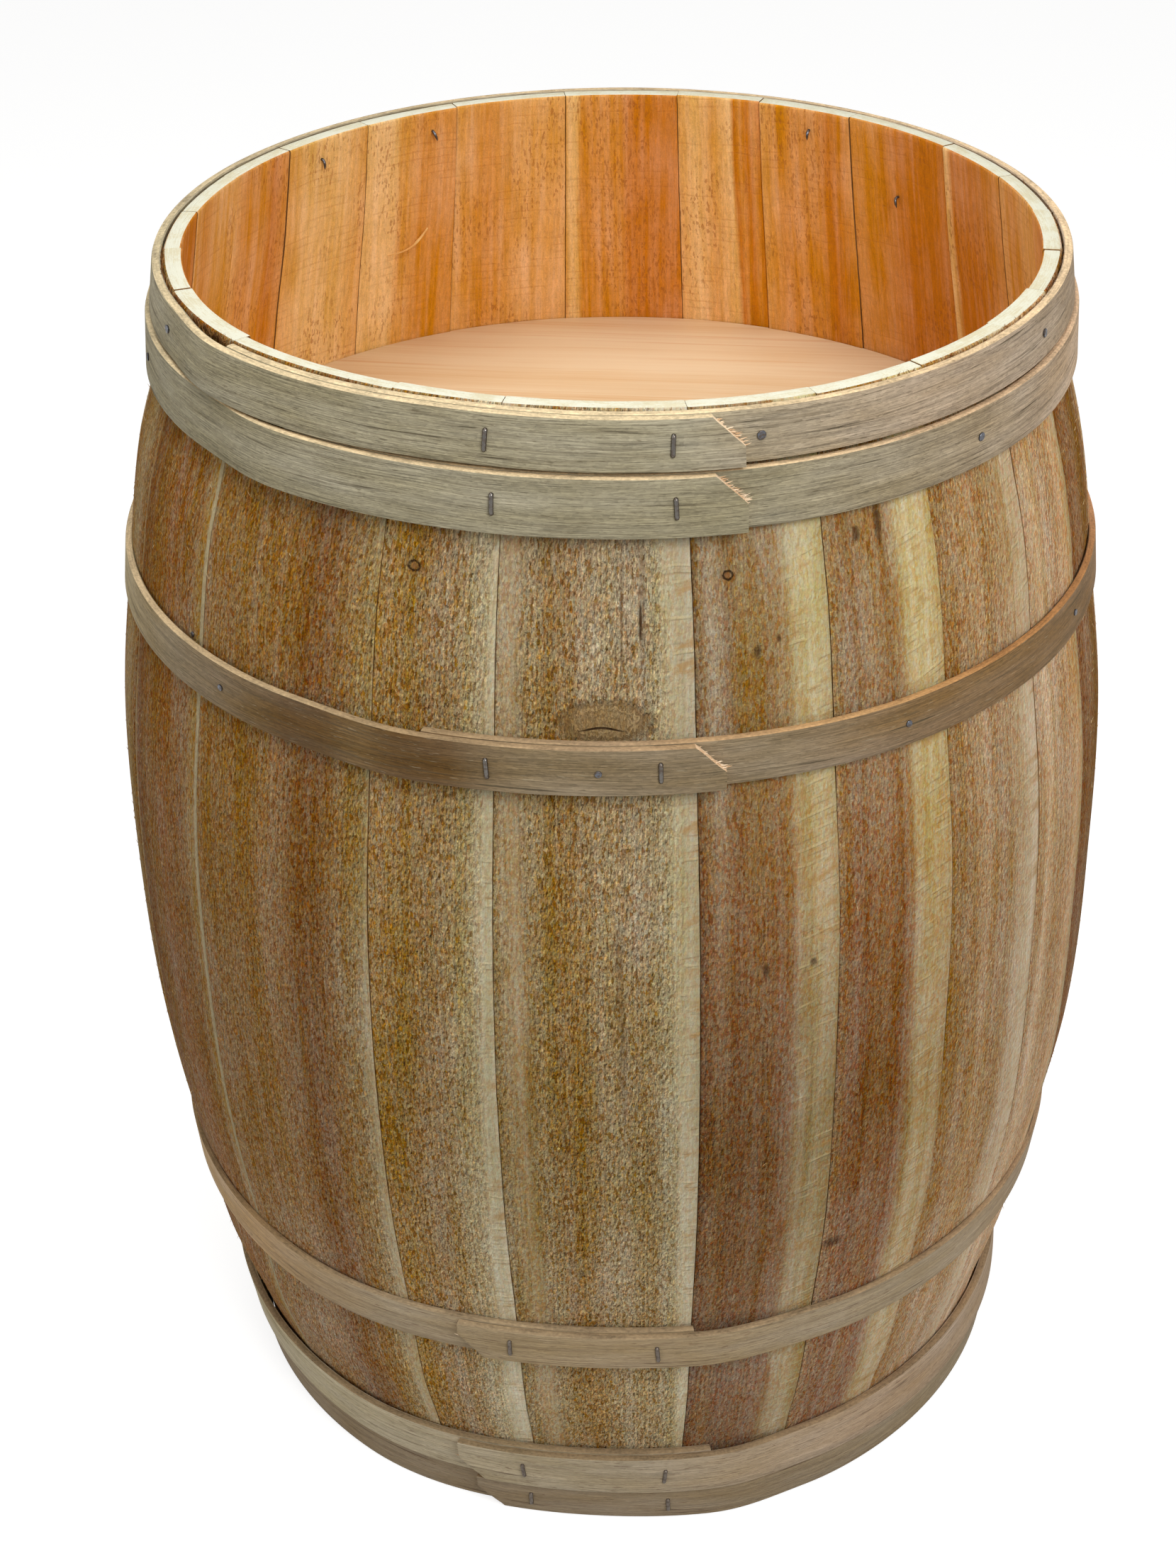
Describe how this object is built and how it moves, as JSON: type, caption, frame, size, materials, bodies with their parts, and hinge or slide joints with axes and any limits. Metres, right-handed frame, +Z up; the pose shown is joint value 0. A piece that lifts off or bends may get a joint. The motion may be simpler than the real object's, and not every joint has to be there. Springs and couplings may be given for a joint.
{
  "type": "wooden barrel",
  "caption": "Open wooden display barrel: bulged staves held by bent wooden hoops, with a raised display floor inside the rim.",
  "frame": {"origin": "middle of the barrel's foot, on the surface that it stands on", "axes": "+Z up along the barrel's axis; -Y towards the front, where the hoop laps are; +X to the right seen from the front"},
  "size_m": [0.5353, 0.5344, 0.68],
  "materials": {
    "stave_wood": "rough sawn, bare",
    "upper_hoop_wood": "weathered grey, bare",
    "lower_hoop_wood": "pale beige, bare",
    "floor_pine": "planed pine, bare",
    "head_pine": "planed pine, bare",
    "staple_steel": "dull wire"
  },
  "bodies": {
    "root": {"bottom_head": "head_pine", "display_floor": "floor_pine", "hoop_head_bottom": "lower_hoop_wood", "hoop_head_top": "upper_hoop_wood", "hoop_quarter_bottom": "lower_hoop_wood", "hoop_quarter_top": "upper_hoop_wood", "hoop_rim_bottom": "lower_hoop_wood", "hoop_rim_top": "upper_hoop_wood", "nail_head_top_1": "staple_steel", "nail_head_top_2": "staple_steel", "nail_head_top_3": "staple_steel", "nail_quarter_top_1": "staple_steel", "nail_quarter_top_2": "staple_steel", "nail_quarter_top_3": "staple_steel", "nail_quarter_top_4": "staple_steel", "nail_quarter_top_5": "staple_steel", "nail_quarter_top_6": "staple_steel", "nail_quarter_top_7": "staple_steel", "nail_rim_top_1": "staple_steel", "nail_rim_top_2": "staple_steel", "nail_rim_top_3": "staple_steel", "nail_rim_top_4": "staple_steel", "nail_rim_top_5": "staple_steel", "nail_rim_top_6": "staple_steel", "staple_head_bottom_left": "staple_steel", "staple_head_bottom_right": "staple_steel", "staple_head_top_left": "staple_steel", "staple_head_top_right": "staple_steel", "staple_quarter_bottom_left": "staple_steel", "staple_quarter_bottom_right": "staple_steel", "staple_quarter_top_left": "staple_steel", "staple_quarter_top_right": "staple_steel", "staple_rim_bottom_left": "staple_steel", "staple_rim_bottom_right": "staple_steel", "staple_rim_top_left": "staple_steel", "staple_rim_top_right": "staple_steel", "stave_01": "stave_wood", "stave_02": "stave_wood", "stave_03": "stave_wood", "stave_04": "stave_wood", "stave_05": "stave_wood", "stave_06": "stave_wood", "stave_07": "stave_wood", "stave_08": "stave_wood", "stave_09": "stave_wood", "stave_10": "stave_wood", "stave_11": "stave_wood", "stave_12": "stave_wood", "stave_13": "stave_wood", "stave_14": "stave_wood", "stave_15": "stave_wood", "stave_16": "stave_wood", "stave_17": "stave_wood", "stave_18": "stave_wood", "stave_19": "stave_wood", "stave_20": "stave_wood", "stave_21": "stave_wood", "stave_22": "stave_wood", "stave_23": "stave_wood"}
  },
  "joints": []
}
